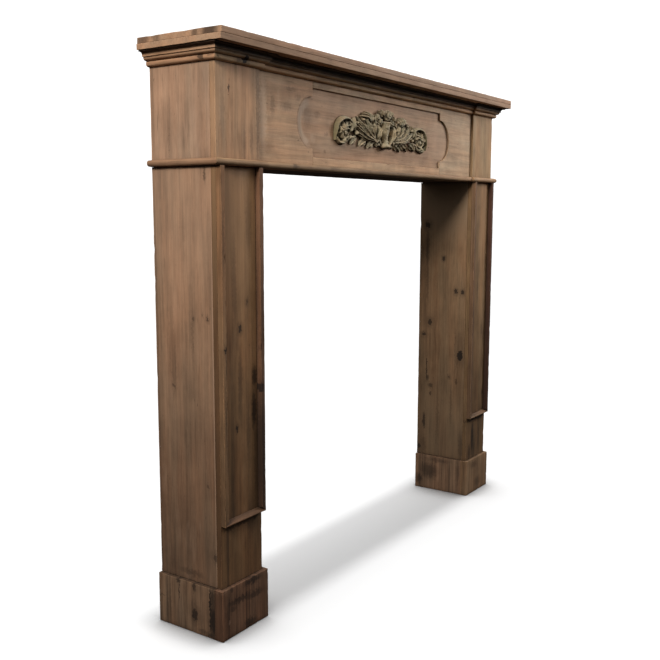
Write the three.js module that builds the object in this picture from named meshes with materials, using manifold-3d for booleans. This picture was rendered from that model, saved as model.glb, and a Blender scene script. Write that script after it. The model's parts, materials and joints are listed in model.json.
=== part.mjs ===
import * as THREE from 'three';
import { mergeVertices } from 'three/addons/utils/BufferGeometryUtils.js';
import Module from 'manifold-3d';

// Fireplace mantel of old pine boards, in millimetres.
// X runs along the shelf, the front faces -Y, the wall is on the +Y side and Z is up from the floor.
// Pieces are placed with the wall plane at y = 0. The whole is then moved so that the origin is
// the middle of the underside of its box.

// Clearance between pieces that touch.
const jointGap = 0.3;

// Fireplace opening.
const openingWidth = 1035;
const openingHeight = 994;

// Legs: posts of three boards, open towards the wall.
const legWidth = 135;
const legDepth = 177;
const legFrontThickness = 12;
const legSideThickness = 20;

// Plinths: three thicker boards under each leg, proud of it all round.
const plinthHeight = 112;
const plinthProud = 9.5;
const plinthThickness = 22;

// Applied frame on the front of each leg: two stiles and a rail with a sloping top.
const frameProud = 13;
const stileWidth = 12.5;
const railRise = 138;
const railNose = 3;
const railHeight = 9.5;

// Lintel: a box of boards over the opening, open towards the wall.
const lintelHeight = 231;
const lintelSideThickness = 20;
const backingThickness = 20;
const soffitThickness = 18;
const blockWidth = 137;
const blockStep = 1.5;
const blockProud = 8;

// Sunk panel of the frieze: left open by the facing boards, with a half-round bay at each end.
const facingThickness = 6;
const panelWidth = 624;
const topRailHeight = 44.5;
const bottomRailHeight = 32.5;
const bayRadius = 57.5;

// Astragal round the foot of the lintel.
const astragalHeight = 14;
const astragalProjection = 14.5;

// Cornice under the shelf, from its lowest member up: band, ovolo, fillet, cove and top edge.
const bandProjection = 9.5;
const bandHeight = 10;
const quirkDepth = 1.5;
const quirkHeight = 1;
const ovoloProjection = 17;
const ovoloHeight = 7.5;
const filletProjection = 20;
const filletHeight = 3;
const coveProjection = 28.5;
const coveHeight = 6.5;
const corniceProjection = 30;
const topEdgeHeight = 2;

// Shelf of two boards. The upper board is a little short at its left end.
const upperShelfThickness = 12.5;
const lowerShelfThickness = 12.5;
const shelfSideOverhang = 4.5;
const shelfFrontOverhang = 17;
const upperShelfShort = 2.5;

// Carved ornament on the panel.
const ornamentLength = 453;
const ornamentHeight = 102;
const ornamentRelief = 25;
const ornamentOffset = 4;

const outerHalf = openingWidth / 2 + legWidth;
const innerHalf = openingWidth / 2;
const blockDepth = legDepth + blockStep;
const friezeDepth = blockDepth - blockProud;
const panelDepth = friezeDepth - facingThickness;
const blockInner = outerHalf - blockWidth;
const lintelTop = openingHeight + lintelHeight;
const corniceHeight = bandHeight + quirkHeight + ovoloHeight + filletHeight + coveHeight + topEdgeHeight;
const shelfHalf = outerHalf + corniceProjection + shelfSideOverhang;
const shelfDepth = blockDepth + corniceProjection + shelfFrontOverhang;
const panelTop = lintelTop - topRailHeight;
const panelBottom = openingHeight + bottomRailHeight;
const panelMiddle = (panelTop + panelBottom) / 2;

const wasm = await Module();
wasm.setup();

const mantel = new THREE.Group();
mantel.name = 'mantel';
mantel.position.set(0, shelfDepth / 2, 0);

const palePine = 0xb08d6a;
const warmPine = 0x96704e;
const darkPine = 0x76543a;
const greyCarving = 0x8b7f68;

function piece(name, geometry, colour, roughness = 0.75) {
  const material = new THREE.MeshStandardMaterial({ color: colour, roughness, metalness: 0 });
  const mesh = new THREE.Mesh(geometry, material);
  mesh.name = name;
  mantel.add(mesh);
  return mesh;
}

// A square board between two corners. Its depths are counted forwards from the wall plane.
function board(name, [x0, x1], [depth0, depth1], [z0, z1], colour) {
  const mesh = piece(name, new THREE.BoxGeometry(x1 - x0, depth1 - depth0, z1 - z0), colour);
  mesh.position.set((x0 + x1) / 2, -(depth0 + depth1) / 2, (z0 + z1) / 2);
  return mesh;
}

// A span along X, mirrored for the right-hand side.
function sided(side, near, far) {
  return side < 0 ? [-far, -near] : [near, far];
}

// A flat shape drawn in X and Z, with its back on one depth and its face on another.
function facing(shape, back, face) {
  const options = { depth: face - back, bevelEnabled: false, curveSegments: 28 };
  const geometry = new THREE.ExtrudeGeometry(shape, options);
  geometry.rotateX(Math.PI / 2);
  geometry.translate(0, -back, 0);
  return geometry;
}

function outline(points) {
  return new THREE.Shape(points.map(([x, z]) => new THREE.Vector2(x, z)));
}

// A closed solid from rings of points: quads between rings and a cap on the first and last. The
// section, drawn anticlockwise, gives the caps their triangles.
function ringSolid(rings, section) {
  const count = section.length;
  const position = rings.flat().flatMap((p) => [p.x, p.y, p.z]);
  const index = [];
  for (let r = 0; r + 1 < rings.length; r += 1) {
    for (let i = 0; i < count; i += 1) {
      const a = r * count + i;
      const b = r * count + ((i + 1) % count);
      index.push(a, b, b + count, a, b + count, a + count);
    }
  }
  const last = (rings.length - 1) * count;
  for (const [a, b, c] of THREE.ShapeUtils.triangulateShape(section, [])) {
    index.push(a, c, b, last + a, last + b, last + c);
  }
  const geometry = new THREE.BufferGeometry();
  geometry.setAttribute('position', new THREE.Float32BufferAttribute(position, 3));
  geometry.setIndex(signedVolume(position, index) < 0 ? flipped(index) : index);
  return geometry;
}

function signedVolume(position, index) {
  const corner = (i) => new THREE.Vector3().fromArray(position, 3 * i);
  let volume = 0;
  for (let i = 0; i < index.length; i += 3) {
    volume += corner(index[i]).dot(corner(index[i + 1]).cross(corner(index[i + 2]))) / 6;
  }
  return volume;
}

function flipped(index) {
  const result = [];
  for (let i = 0; i < index.length; i += 3) {
    result.push(index[i], index[i + 2], index[i + 1]);
  }
  return result;
}

// Moulding profiles, drawn as how far out from the face and how far up.
function astragalProfile() {
  const radius = astragalHeight / 2;
  const centre = astragalProjection - radius;
  const shape = new THREE.Shape();
  shape.moveTo(jointGap, 0);
  shape.lineTo(centre, 0);
  shape.absarc(centre, radius, radius, -Math.PI / 2, Math.PI / 2, false);
  shape.lineTo(jointGap, astragalHeight);
  return profilePoints(shape, 7);
}

function corniceProfile() {
  const groove = bandProjection - quirkDepth;
  const ovoloFoot = bandHeight + quirkHeight;
  const ovoloTop = ovoloFoot + ovoloHeight;
  const filletTop = ovoloTop + filletHeight;
  const coveTop = filletTop + coveHeight;
  const shape = new THREE.Shape();
  shape.moveTo(jointGap, 0);
  shape.quadraticCurveTo(bandProjection, 0, bandProjection, bandHeight / 2);
  shape.lineTo(bandProjection, bandHeight);
  shape.lineTo(groove, ovoloFoot);
  shape.quadraticCurveTo(ovoloProjection, ovoloFoot, ovoloProjection, ovoloTop);
  shape.lineTo(filletProjection, ovoloTop);
  shape.lineTo(filletProjection, filletTop);
  shape.quadraticCurveTo(filletProjection, coveTop, coveProjection, coveTop);
  shape.lineTo(corniceProjection, coveTop);
  shape.lineTo(corniceProjection, corniceHeight - jointGap);
  shape.lineTo(jointGap, corniceHeight - jointGap);
  return profilePoints(shape, 5);
}

function profilePoints(shape, divisions) {
  const points = shape.getPoints(divisions);
  return points.filter((p, i) => i === 0 || p.distanceTo(points[i - 1]) > 0.01);
}

// The line of the lintel's faces in plan, from the wall round the front and back to the wall.
const facePath = [
  [-outerHalf, 0], [-outerHalf, -blockDepth], [-blockInner, -blockDepth], [-blockInner, -friezeDepth],
  [blockInner, -friezeDepth], [blockInner, -blockDepth], [outerHalf, -blockDepth], [outerHalf, 0],
].map(([x, y]) => new THREE.Vector2(x, y));

function runDirection(i) {
  return facePath[i + 1].clone().sub(facePath[i]).normalize();
}

function outward(i) {
  const run = runDirection(i);
  return new THREE.Vector2(run.y, -run.x);
}

// The profile set on a corner of the face path, along the mitre there.
function mitreRing(profile, corner, z0, slide) {
  const spread = new THREE.Vector2();
  if (corner > 0) spread.add(outward(corner - 1));
  if (corner + 1 < facePath.length) spread.add(outward(corner));
  const base = facePath[corner].clone().add(slide);
  return profile.map((p) => new THREE.Vector3(base.x + p.x * spread.x, base.y + p.x * spread.y, z0 + p.y));
}

// One length of moulding from one corner of the face path to another, with open mitres at its ends.
function mouldingRun(profile, first, last, z0) {
  const mitreTrim = jointGap / Math.SQRT2;
  const rings = [];
  const end = facePath.length - 1;
  for (let corner = first; corner <= last; corner += 1) {
    const slide = new THREE.Vector2();
    if (corner === first && corner > 0) slide.addScaledVector(runDirection(corner), mitreTrim);
    if (corner === last && corner < end) slide.addScaledVector(runDirection(corner - 1), -mitreTrim);
    rings.push(mitreRing(profile, corner, z0, slide));
  }
  return ringSolid(rings, profile);
}

function addMoulding(name, profile, z0, colour) {
  const lengths = {
    left_return: [0, 1], left_block: [1, 3], centre: [3, 4], right_block: [4, 6], right_return: [6, 7],
  };
  for (const [place, [first, last]] of Object.entries(lengths)) {
    piece(`${name}_${place}`, mouldingRun(profile, first, last, z0), colour);
  }
}

function addShelf() {
  const seam = lintelTop + lowerShelfThickness;
  const depth = [0, shelfDepth];
  board('shelf_lower_board', [-shelfHalf, shelfHalf], depth, [lintelTop, seam - jointGap], warmPine);
  board('shelf_upper_board', [-shelfHalf + upperShelfShort, shelfHalf], depth,
    [seam, seam + upperShelfThickness], palePine);
}

function addLintel() {
  const top = lintelTop - jointGap;
  const sideInner = outerHalf - lintelSideThickness;
  const backingBack = panelDepth - backingThickness;
  const facingBack = panelDepth + jointGap;
  board('frieze_backing_board', [-sideInner + jointGap, sideInner - jointGap], [backingBack, panelDepth],
    [openingHeight, top], palePine);
  board('lintel_soffit_board', [-sideInner + jointGap, sideInner - jointGap], [0, backingBack - jointGap],
    [openingHeight, openingHeight + soffitThickness], darkPine);
  const half = panelWidth / 2;
  const facingDepth = [facingBack, friezeDepth];
  board('frieze_top_rail', [-half, half], facingDepth, [panelTop, top], palePine);
  board('frieze_bottom_rail', [-half, half], facingDepth, [openingHeight, panelBottom], palePine);
  for (const [word, side] of [['left', -1], ['right', 1]]) {
    const height = [openingHeight, top];
    const blockSpan = sided(side, blockInner, outerHalf);
    board(`lintel_${word}_side`, sided(side, sideInner, outerHalf), [0, panelDepth], height, palePine);
    board(`block_${word}_front`, blockSpan, [facingBack, blockDepth], height, palePine);
    const shape = bayBoard(side, half + jointGap, top);
    piece(`frieze_${word}_facing`, facing(shape, facingBack, friezeDepth), palePine);
  }
}

// End board of the frieze, with the half-round bay cut into its inner edge.
function bayBoard(side, inner, top) {
  const outer = blockInner - jointGap;
  const shape = new THREE.Shape();
  shape.moveTo(side * inner, openingHeight);
  shape.lineTo(side * outer, openingHeight);
  shape.lineTo(side * outer, top);
  shape.lineTo(side * inner, top);
  shape.absarc(side * inner, panelMiddle, bayRadius, Math.PI / 2, -Math.PI / 2, side > 0);
  return shape;
}

function addLeg(word, side) {
  const top = openingHeight - jointGap;
  const foot = plinthHeight + jointGap;
  const faceBack = legDepth - legFrontThickness;
  const upright = [foot, top];
  const sideDepth = [0, faceBack - jointGap];
  const outerSide = sided(side, outerHalf - legSideThickness, outerHalf);
  const innerSide = sided(side, innerHalf, innerHalf + legSideThickness);
  board(`${word}_leg_front`, sided(side, innerHalf, outerHalf), [faceBack, legDepth], upright, darkPine);
  board(`${word}_leg_outer_side`, outerSide, sideDepth, upright, warmPine);
  board(`${word}_leg_inner_side`, innerSide, sideDepth, upright, darkPine);
  addLegFrame(word, side, top);
}

// The frame's stiles meet its rail on slanting mitres that run from the outer bottom corners.
function addLegFrame(word, side, top) {
  const bottom = plinthHeight + railRise;
  const back = legDepth + jointGap;
  const face = legDepth + frameProud;
  const mitreTop = bottom + railHeight;
  const middle = side * (innerHalf + outerHalf) / 2;
  for (const [place, direction] of [['outer', side], ['inner', -side]]) {
    const edge = middle + direction * legWidth / 2;
    const inside = edge - direction * stileWidth;
    const mitre = [[inside, mitreTop + jointGap], [edge, bottom + jointGap]];
    const shape = outline([[edge, top], [inside, top], ...mitre]);
    piece(`${word}_leg_${place}_stile`, facing(shape, back, face), warmPine);
  }
  const profile = [[back, 0], [face, 0], [face, railNose], [back, railHeight]]
    .map(([depth, up]) => new THREE.Vector2(depth, up));
  const rings = [-1, 1].map((end) => profile.map((p) => {
    const mitre = p.y * stileWidth / railHeight;
    return new THREE.Vector3(middle + end * (legWidth / 2 - mitre), -p.x, bottom + p.y);
  }));
  piece(`${word}_leg_rail`, ringSolid(rings, profile), palePine);
}

function addPlinth(word, side) {
  const inner = innerHalf - plinthProud;
  const outer = outerHalf + plinthProud;
  const face = legDepth + plinthProud;
  const faceBack = face - plinthThickness;
  const height = [0, plinthHeight];
  const depth = [0, faceBack - jointGap];
  board(`${word}_plinth_front`, sided(side, inner, outer), [faceBack, face], height, darkPine);
  board(`${word}_plinth_outer_side`, sided(side, outer - plinthThickness, outer), depth, height, warmPine);
  board(`${word}_plinth_inner_side`, sided(side, inner, inner + plinthThickness), depth, height, darkPine);
}

// The ornament is drawn about 472 units long, and then brought to its size. In the drawing, u runs
// from its middle outwards, v up from the middle of the panel and w out from the panel. Every form
// stands on w = 0.

function toSolid(geometry) {
  const bare = geometry.clone();
  bare.deleteAttribute('normal');
  bare.deleteAttribute('uv');
  const merged = mergeVertices(bare, 1e-4);
  return new wasm.Manifold(new wasm.Mesh({
    numProp: 3,
    vertProperties: new Float32Array(merged.attributes.position.array),
    triVerts: new Uint32Array(merged.index.array),
  }));
}

function toGeometry(solid) {
  const mesh = solid.getMesh();
  const geometry = new THREE.BufferGeometry();
  geometry.setAttribute('position', new THREE.Float32BufferAttribute(mesh.vertProperties, 3));
  geometry.setIndex(Array.from(mesh.triVerts));
  return geometry;
}

// A carved strand that follows a line of [u, v] points. Its half width and height swell between
// the root, middle and tip values.
function strand(points, halfWidths, heights, steps) {
  const section = [[1, 0], [0.75, 0.7], [0, 1], [-0.75, 0.7], [-1, 0]]
    .map(([x, y]) => new THREE.Vector2(x, y));
  const line = new THREE.CatmullRomCurve3(points.map(([u, v]) => new THREE.Vector3(u, v, 0)));
  const rings = [];
  for (let i = 0; i <= steps; i += 1) {
    const t = i / steps;
    const centre = line.getPointAt(t);
    const along = line.getTangentAt(t);
    const across = new THREE.Vector3(along.y, -along.x, 0);
    const halfWidth = swell(halfWidths, t);
    const height = swell(heights, t);
    rings.push(section.map((p) => new THREE.Vector3(
      centre.x + across.x * p.x * halfWidth, centre.y + across.y * p.x * halfWidth, p.y * height)));
  }
  return ringSolid(rings, section);
}

function swell([root, middle, tip], t) {
  return (1 - t) * (1 - 2 * t) * root + 4 * t * (1 - t) * middle + t * (2 * t - 1) * tip;
}

function mirrored(points) {
  return points.map(([u, v]) => [-u, v]);
}

// A rose: a dome with a waved rim and a sunk ring round its heart.
function rose(u, v, radius, height, petals) {
  const segments = petals * 3;
  const petalWave = 0.12;
  const levels = [[1, 0], [0.95, 0.5], [0.66, 0.85], [0.46, 0.7], [0.24, 1]];
  const angles = Array.from({ length: segments }, (_, i) => (2 * Math.PI * i) / segments);
  const section = angles.map((angle) => new THREE.Vector2(Math.cos(angle), Math.sin(angle)));
  const rings = levels.map(([share, level]) => angles.map((angle) => {
    const r = radius * share * (1 + petalWave * Math.cos(petals * angle));
    return new THREE.Vector3(u + r * Math.cos(angle), v + r * Math.sin(angle), level * height);
  }));
  return ringSolid(rings, section);
}

// The vase, turned about an upright axis a little proud of the panel and cut off flat at the panel.
function vase() {
  const axisProud = 6;
  const flattening = 0.85;
  const foot = [[0, -43], [17, -43], [17.5, -39], [10, -33], [9, -27]];
  const bowl = [[9.5, -20], [13, 0], [17, 17], [19.5, 25], [0, 26]];
  const profile = [...foot, ...bowl].map(([r, v]) => new THREE.Vector2(r, v));
  const turned = new THREE.LatheGeometry(profile, 16);
  turned.scale(1, 1, flattening);
  turned.translate(0, 0, axisProud);
  const reach = 100;
  const front = new THREE.BoxGeometry(reach, reach, reach);
  front.translate(0, 0, reach / 2);
  return toSolid(turned).intersect(toSolid(front));
}

// The plume of ribs that sweeps from the vase's foot up to a row of leaf tips.
function plume() {
  const tips = [[164, 5], [158, 17], [147, 25], [133, 31], [117, 35], [100, 37], [83, 36], [66, 30]];
  return tips.map(([u, v], i) => {
    const [rootU, rootV] = [42 + i * 1.4, -27 + i * 2.3];
    const low = [rootU + (u - rootU) * 0.45, rootV + (v - rootV) * 0.2 - 1 + i * 0.6];
    const high = [rootU + (u - rootU) * 0.82, rootV + (v - rootV) * 0.66];
    return [[[rootU, rootV], low, high, [u, v]], [4, 5.5, 1.5], [9, 14 + (i % 2) * 5, 6], 6];
  });
}

// Short leaves that curl up above the plume.
function fan() {
  const [rootU, rootV] = [80, 20];
  return [[119, 33], [109, 41], [96, 45.5], [82, 45], [69, 40]].map(([u, v]) => {
    const middle = [(u + rootU) / 2 - 4, (v + rootV) / 2 + 4];
    return [[[rootU, rootV], middle, [u, v]], [3, 5, 2], [12, 18, 9], 4];
  });
}

// Leaves that hang slanting along the foot, each with a smaller one behind it.
function drops() {
  return [[52, -26, 34], [88, -23, 36], [137, -21, 28]].flatMap(([u, v, length]) => {
    const line = [[u, v], [u + 0.35 * length, v - 3], [u + 0.72 * length, v - 9], [u + length, v - 18]];
    const small = [[u + 2, v - 8], [u + 0.25 * length, v - 12], [u + 0.45 * length, v - 16]];
    return [[line, [3, 6.5, 2.5], [7, 11, 7], 5], [small, [2, 4, 2], [5, 8, 5], 2]];
  });
}

// The crescent at the end, with a second curl inside it and a third below.
function scroll() {
  const crescent = [[231, -34], [230, -14], [225, 3], [213, 15], [197, 20.5], [179, 21], [160, 14]];
  const curl = [[158, 8], [173, 5], [190, 3], [203, -4], [208, -15], [201, -25], [188, -27], [179, -20],
    [184, -11]];
  const lowest = [[227, -24], [216, -36], [200, -38], [184, -33]];
  return [
    [crescent, [2.5, 7, 4], [7, 14, 11], 11],
    [curl, [3.5, 5, 3.5], [9, 12, 8], 12],
    [lowest, [3, 5.5, 3], [6, 10, 7], 5],
  ];
}

// Every strand of the right half: its line, half widths, heights and steps.
function sprays() {
  return [
    ...plume(),
    ...fan(),
    ...drops(),
    ...scroll(),
    [[[30, -22], [39, -10], [37, 4], [44, 17]], [4, 7, 3], [12, 22, 13], 6],
    [[[13, -38], [23, -29], [33, -22], [42, -27], [45, -37]], [3, 6, 3], [8, 13, 7], 7],
    [[[22, -35], [32, -33], [42, -39]], [3, 5.5, 2], [6, 9, 5], 3],
    [[[146, -6], [153, 4], [154, 16], [146, 27]], [3, 6, 2], [9, 16, 9], 5],
    [[[172, -14], [163, -4], [164, 6], [173, 14]], [3, 5, 2], [8, 13, 8], 5],
    [[[150, -22], [162, -21], [174, -27], [182, -35]], [3, 5, 3], [6, 9, 6], 4],
  ];
}

function ornamentGeometry() {
  let solid = vase();
  for (const [points, halfWidths, heights, steps] of sprays()) {
    solid = solid.add(toSolid(strand(points, halfWidths, heights, steps)));
    solid = solid.add(toSolid(strand(mirrored(points), halfWidths, heights, steps)));
  }
  const roses = [[22, 47, 11, 21], [42, 36, 10.5, 17], [31, 26, 11.5, 17], [52, 22, 9, 14], [193, -14, 9, 9]];
  solid = solid.add(toSolid(rose(0, 43, 17, 25, 6)));
  for (const [u, v, radius, height] of roses) {
    solid = solid.add(toSolid(rose(u, v, radius, height, 5)));
    solid = solid.add(toSolid(rose(-u, v, radius, height, 5)));
  }
  const geometry = toGeometry(solid);
  geometry.computeBoundingBox();
  const drawn = geometry.boundingBox.getSize(new THREE.Vector3());
  geometry.scale(ornamentLength / drawn.x, ornamentHeight / drawn.y, ornamentRelief / drawn.z);
  geometry.rotateX(Math.PI / 2);
  return geometry;
}

function addOrnament() {
  const mesh = piece('carved_ornament', ornamentGeometry(), greyCarving, 0.85);
  mesh.position.set(ornamentOffset, -(panelDepth + jointGap), panelMiddle);
}

addShelf();
addMoulding('cornice', corniceProfile(), lintelTop - corniceHeight, warmPine);
addLintel();
addMoulding('astragal', astragalProfile(), openingHeight, palePine);
addOrnament();
for (const [word, side] of [['left', -1], ['right', 1]]) {
  addLeg(word, side);
  addPlinth(word, side);
}

export default mantel;
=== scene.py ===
import json
import math
from typing import NamedTuple

import bmesh
import bpy
from mathutils import Matrix, Vector, noise
from mathutils.bvhtree import BVHTree


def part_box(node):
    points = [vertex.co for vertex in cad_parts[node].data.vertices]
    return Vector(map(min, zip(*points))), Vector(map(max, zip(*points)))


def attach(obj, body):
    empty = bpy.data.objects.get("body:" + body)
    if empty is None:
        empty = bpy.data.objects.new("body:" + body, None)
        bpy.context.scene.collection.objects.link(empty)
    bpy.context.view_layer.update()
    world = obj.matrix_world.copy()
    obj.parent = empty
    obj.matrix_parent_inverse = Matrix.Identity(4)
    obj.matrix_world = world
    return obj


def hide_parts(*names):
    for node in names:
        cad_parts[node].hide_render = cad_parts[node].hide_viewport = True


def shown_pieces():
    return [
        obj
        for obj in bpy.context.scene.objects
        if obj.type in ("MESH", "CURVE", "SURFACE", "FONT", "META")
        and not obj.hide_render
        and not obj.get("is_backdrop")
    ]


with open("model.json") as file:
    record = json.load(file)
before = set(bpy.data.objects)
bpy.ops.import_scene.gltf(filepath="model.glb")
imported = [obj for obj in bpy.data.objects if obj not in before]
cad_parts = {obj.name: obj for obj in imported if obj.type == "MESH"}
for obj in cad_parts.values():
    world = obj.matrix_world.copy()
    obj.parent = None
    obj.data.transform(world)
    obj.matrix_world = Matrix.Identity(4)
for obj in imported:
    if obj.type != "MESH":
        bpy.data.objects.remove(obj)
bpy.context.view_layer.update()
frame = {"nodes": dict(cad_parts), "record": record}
boxes = {name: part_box(name) for name in frame["nodes"]}

# Fireplace mantel of old stripped pine. Shapes are in metres. Materials and the ornament's drawing
# work in millimetres.
MM = 0.001

# Ways that a face can look.
FRONT = (0, -1, 0)
LEFT = (-1, 0, 0)
UP = (0, 0, 1)

# Camera: place in metres, angles in degrees, focal length for a 36 mm sensor.
CAMERA_PLACE = Vector((-1.96638, -1.23964, 0.90329))
CAMERA_YAW = 34.426
CAMERA_PITCH = 7.741
CAMERA_ROLL = -0.1136
CAMERA_LENS = 47.576
CAMERA_SENSOR = 36


# Kinds of board

class Look(NamedTuple):
    """A kind of board: its tone in white light, how dark its foot is, how strong its grain, the painted
    shade and soiling in its corners and the soiling in its joints are, how broad its zones are in
    millimetres, and the corners' reach and the share of open air where their painted shade and
    soiling is full and where it ends."""
    tone: str
    foot: float = 1.0
    grain: float = 1.0
    shade_and_dirt: float = 0.55
    joint: float = 0.85
    zone: float = 18
    corner: tuple = (16, 0.35, 0.95)


LOOKS = {
    "shelf": Look("#9a7a60", grain=0.8, shade_and_dirt=0.4),
    "lintel": Look("#b39173", grain=0.9, shade_and_dirt=0.3, joint=0.6, zone=24),
    "moulding": Look("#9c7c5c", grain=1.5, shade_and_dirt=0.6, joint=0.4, zone=8, corner=(12, 0.3, 0.75)),
    "leg": Look("#8d6c50", foot=0.38, grain=1.2, zone=20),
    "plinth": Look("#7c6048", foot=0.8, grain=1.9, zone=13),
    "inside": Look("#6b5340"),
}

# Boards that are darker, paler or redder than their kind.
BOARD_TONES = {
    "lintel_left_side": "#927660",
    "block_left_front": "#ab8767",
    "block_right_front": "#9b7c5a",
    "frieze_left_facing": "#ba9574",
    "frieze_right_facing": "#af9376",
    "frieze_backing_board": "#ab8a6d",
    "frieze_top_rail": "#bd9b7a",
    "frieze_bottom_rail": "#bd9b7a",
    "cornice_left_return": "#9b795d",
    "astragal_left_return": "#856850",
    "astragal_left_block": "#917457",
    "astragal_centre": "#917457",
    "shelf_upper_board": "#96765c",
    "cornice_left_block": "#b89470",
    "cornice_centre": "#b08c69",
    "left_leg_outer_side": "#8c6d55",
    "left_leg_front": "#936d4a",
    "left_leg_outer_stile": "#8e6b4c",
    "left_leg_inner_stile": "#6a4d38",
    "left_leg_rail": "#7c5b42",
    "left_plinth_outer_side": "#6c5542",
    "left_plinth_front": "#6a4d3a",
    "right_leg_inner_side": "#876a4e",
    "right_leg_front": "#8c6c4b",
    "right_leg_inner_stile": "#7d5f46",
    "right_leg_outer_stile": "#54382a",
    "right_plinth_inner_side": "#785d48",
    "right_plinth_front": "#7f644a",
}

# Painted shade: faces that are darker than the rest of their board by the way that they face. Each gives
# the way that they face, and how dark they are.
PAINTED_FACE_SHADES = {
    "block_left_front": (LEFT, 0.68),
    "left_leg_front": (LEFT, 0.76),
    "left_leg_outer_stile": (LEFT, 0.66),
    "left_plinth_front": (LEFT, 0.5),
    "right_plinth_front": (LEFT, 0.8),
    "left_plinth_outer_side": (UP, 0.7),
    "shelf_upper_board": (UP, 0.66),
}


# Node trees

# How far each step of its seed shifts a noise, in its own features.
SEED_SHIFT = (7.31, 3.17, 5.93)


class Layer(NamedTuple):
    """A layer of noise: the size of its features in each direction in millimetres, what it adds to
    the seed, its detail and its roughness."""
    size: tuple
    seed: int
    detail: float = 2.0
    roughness: float = 0.5


class Nodes:
    """Adds nodes to one tree. A value is a number, a tuple or another node's output."""

    def __init__(self, tree):
        self.tree = tree
        tree.nodes.clear()

    def add(self, kind, inputs=(), output=0, **settings):
        """Adds a node with its inputs and settings, and gives one of its outputs."""
        made = self.tree.nodes.new("ShaderNode" + kind)
        for key, value in settings.items():
            setattr(made, key, value)
        for key, value in dict(inputs).items():
            if isinstance(value, bpy.types.NodeSocket):
                self.tree.links.new(value, made.inputs[key])
            else:
                made.inputs[key].default_value = value
        return made.outputs[output]

    def math(self, operation, *values):
        return self.add("Math", enumerate(values), operation=operation)

    def vector(self, operation, *values, output=0):
        return self.add("VectorMath", enumerate(values), output, operation=operation)

    def length(self, vector):
        return self.vector("LENGTH", vector, output=1)

    def dot(self, a, b):
        return self.vector("DOT_PRODUCT", a, b, output=1)

    def parts(self, vector):
        """A vector's three parts."""
        return self.add("SeparateXYZ", {0: vector}).node.outputs

    def step(self, value, low, high, start=0.0, end=1.0):
        """Goes smoothly from start to end as value goes from low to high."""
        values = {0: value, 1: low, 2: high, 3: start, 4: end}
        return self.add("MapRange", values, interpolation_type="SMOOTHSTEP")

    def noise(self, place, layer, seed=0):
        """A layer of noise from 0 to 1."""
        scale = tuple(1 / size for size in layer.size)
        shift = tuple((seed + layer.seed) * s for s in SEED_SHIFT)
        shifted = self.vector("MULTIPLY_ADD", place, scale, shift)
        values = {"Vector": shifted, "Scale": 1.0, "Detail": layer.detail, "Roughness": layer.roughness}
        return self.add("TexNoise", values)

    def blend(self, factor, a, b, mode="MIX"):
        values = {0: factor, 6: a, 7: b}
        return self.add("Mix", values, 2, data_type="RGBA", blend_type=mode)

    def millimetres(self):
        """The place on the object in millimetres."""
        return self.vector("MULTIPLY", self.add("TexCoord", output="Object"), (1 / MM,) * 3)

    def facing(self, way):
        """How squarely the surface faces a way, from -1 to 1."""
        return self.dot(self.add("NewGeometry", output="Normal"), way)

    def open_air(self, reach, samples=6):
        """The share of open air within reach, in millimetres: small in corners and joints."""
        return self.add("AmbientOcclusion", {"Distance": reach * MM}, 1, samples=samples)

    def bump(self, height, strength):
        return self.add("Bump", {"Strength": strength, "Distance": 0.5 * MM, "Height": height})

    def close(self, kind, surface):
        """Ends the tree at its output node."""
        made = self.tree.nodes.new("ShaderNode" + kind)
        self.tree.links.new(surface, made.inputs["Surface"])


def new_material(name):
    material = bpy.data.materials.new(name)
    material.use_nodes = True
    return material, Nodes(material.node_tree)


def linear(code):
    """Linear colour of a #rrggbb code."""
    parts = [int(code[i:i + 2], 16) / 255 for i in (1, 3, 5)]
    return tuple(c / 12.92 if c < 0.04045 else ((c + 0.055) / 1.055) ** 2.4 for c in parts) + (1.0,)


def tinted(colour, tint):
    return tuple(c * t for c, t in zip(colour, tint)) + (1.0,)


# Marks seen on the boards, with painted shadows and painted light among them

class Mark(NamedTuple):
    """A mark: its place across and along the grain, its half width and half length, and its strength.
    A line runs straight, and a light is a pale line. An arc is a pale half ring round its place, open
    towards +X, with its radius in place of a half length, and a rim is a dark one."""
    kind: str
    across: float
    along: float
    half_width: float
    half_length: float
    strength: float


# A rim is a painted shadow, and so are some lines and stains.
STRAIGHT = ("line", "light")
RINGS = ("arc", "rim")
PALE = ("pale", "arc", "light")
CRISP = ("knot", "crack")

# How soft a mark's edge is, as a share of its size.
CRISP_EDGE = 0.25
SOFT_EDGE = 0.6

# A knot's halo and how far it bends the rings in millimetres. Both end at so many of its own sizes.
HALO_STRENGTH = 0.35
HALO_END = 3.0
KNOT_BEND = 9.0
KNOT_BEND_END = 4.5

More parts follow.
